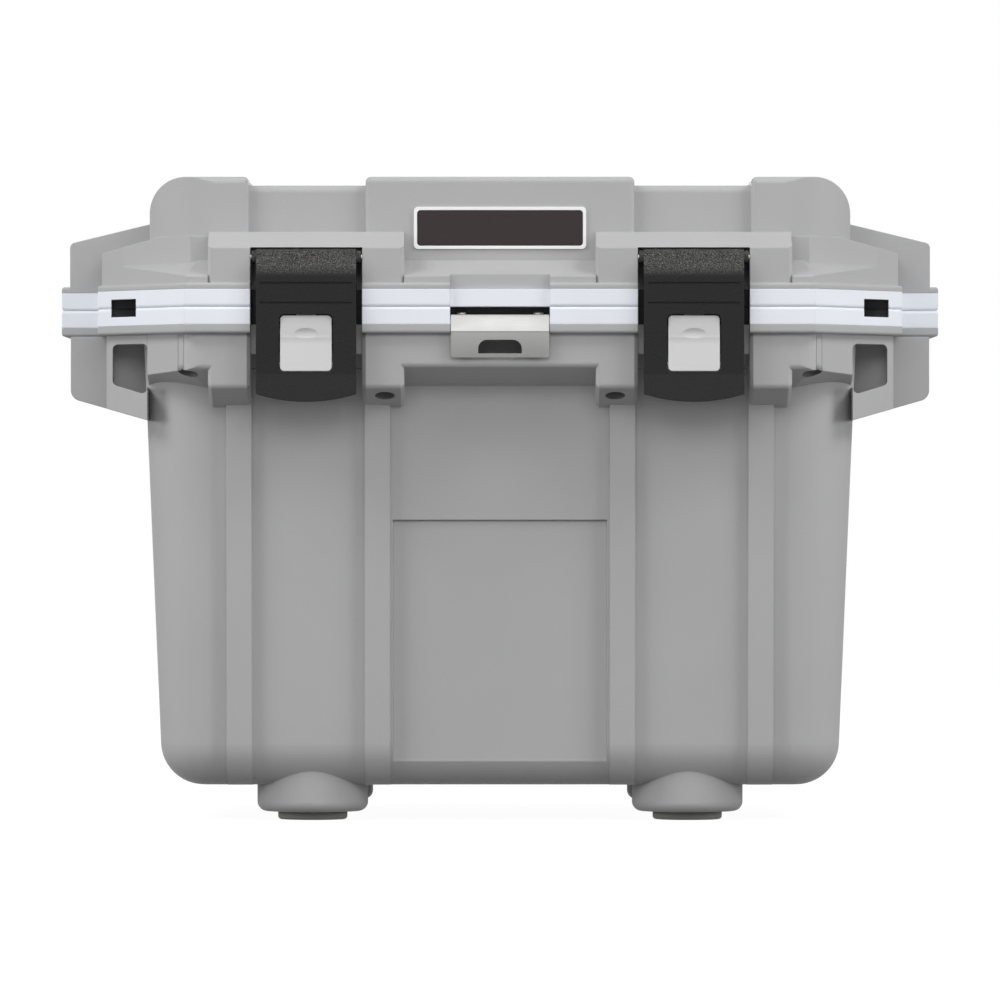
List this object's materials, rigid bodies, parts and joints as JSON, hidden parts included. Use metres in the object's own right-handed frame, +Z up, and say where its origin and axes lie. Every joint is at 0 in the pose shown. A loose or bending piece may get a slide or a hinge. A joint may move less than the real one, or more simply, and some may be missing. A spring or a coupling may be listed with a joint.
{
  "type": "hard cooler chest",
  "caption": "Hard-sided insulated cooler chest on round feet, with hinged lid, press-button front latches, side handles, bottle opener and drain plug.",
  "frame": {"origin": "on the ground under the middle of the chest", "axes": "+Z up, -Y the front with the latches, +X the right side with the drain"},
  "size_m": [0.64, 0.4705, 0.4638],
  "materials": {
    "grey_plastic": "matte",
    "white_plastic": "satin",
    "foam": "matte",
    "black_plastic": "matte",
    "button_plastic": "satin",
    "rubber": "matte",
    "gasket_rubber": "matte",
    "steel": "satin",
    "badge_white": "gloss",
    "badge_dark": "satin"
  },
  "bodies": {
    "tub": {"tub_outer_shell": "grey_plastic", "tub_drain_seat": "grey_plastic", "tub_rim_front": "grey_plastic", "tub_rim_rear": "grey_plastic", "tub_handle_left": "grey_plastic", "tub_handle_right": "grey_plastic", "tub_basin": "white_plastic", "tub_band": "white_plastic", "tub_foam": "foam", "bottle_opener": "steel", "opener_screws": "steel", "drain_fitting": "black_plastic", "drain_nut": "black_plastic", "foot_screws": "steel", "hinge_pin_left": "steel", "hinge_pin_right": "steel", "foot_pad_front_left": "rubber", "foot_pad_front_right": "rubber", "foot_pad_rear_left": "rubber", "foot_pad_rear_right": "rubber"},
    "lid": {"lid_outer_shell": "grey_plastic", "lid_liner": "white_plastic", "lid_foam": "foam", "lid_gasket": "gasket_rubber", "name_plate": "badge_white", "name_plate_field": "badge_dark", "latch_pin_left": "steel", "latch_pin_right": "steel"},
    "drain_seal_ring": {"drain_seal": "gasket_rubber"},
    "drain_screw_plug": {"drain_plug": "black_plastic"},
    "latch_left": {"latch_lever_left": "black_plastic", "button_pin_left": "steel", "button_spring_left": "steel"},
    "button_left": {"latch_button_left": "button_plastic"},
    "latch_right": {"latch_lever_right": "black_plastic", "button_pin_right": "steel", "button_spring_right": "steel"},
    "button_right": {"latch_button_right": "button_plastic"}
  },
  "joints": [
    {"name": "lid_hinge", "type": "hinge", "parent": "tub", "child": "lid", "pos_m": [0, 0.229, 0.37], "axis": [-1, 0, 0], "range_deg": [0, 95]},
    {"name": "drain_plug_travel", "type": "slide", "parent": "tub", "child": "drain_seal_ring", "axis": [1, 0, 0], "range_m": [0, 0.012]},
    {"name": "drain_plug_turn", "type": "hinge", "parent": "drain_seal_ring", "child": "drain_screw_plug", "pos_m": [0.24, 0, 0.076], "axis": [1, 0, 0], "range_deg": [0, 1080]},
    {"name": "latch_left_swing", "type": "hinge", "parent": "lid", "child": "latch_left", "pos_m": [-0.1386, -0.218, 0.406], "axis": [-1, 0, 0], "range_deg": [0, 72]},
    {"name": "button_left_press", "type": "hinge", "parent": "latch_left", "child": "button_left", "pos_m": [-0.1386, -0.2215, 0.3292], "axis": [-1, 0, 0], "range_deg": [0, 9], "stiffness_Nm_per_rad": 0.6, "springref_deg": -8.59, "deforming": ["button_spring_left"]},
    {"name": "latch_right_swing", "type": "hinge", "parent": "lid", "child": "latch_right", "pos_m": [0.1386, -0.218, 0.406], "axis": [-1, 0, 0], "range_deg": [0, 72]},
    {"name": "button_right_press", "type": "hinge", "parent": "latch_right", "child": "button_right", "pos_m": [0.1386, -0.2215, 0.3292], "axis": [-1, 0, 0], "range_deg": [0, 9], "stiffness_Nm_per_rad": 0.6, "springref_deg": -8.59, "deforming": ["button_spring_right"]}
  ],
  "couplings": [
    {"joint": "drain_plug_travel", "follows": "drain_plug_turn", "m_per_rad": 0.00063662}
  ]
}
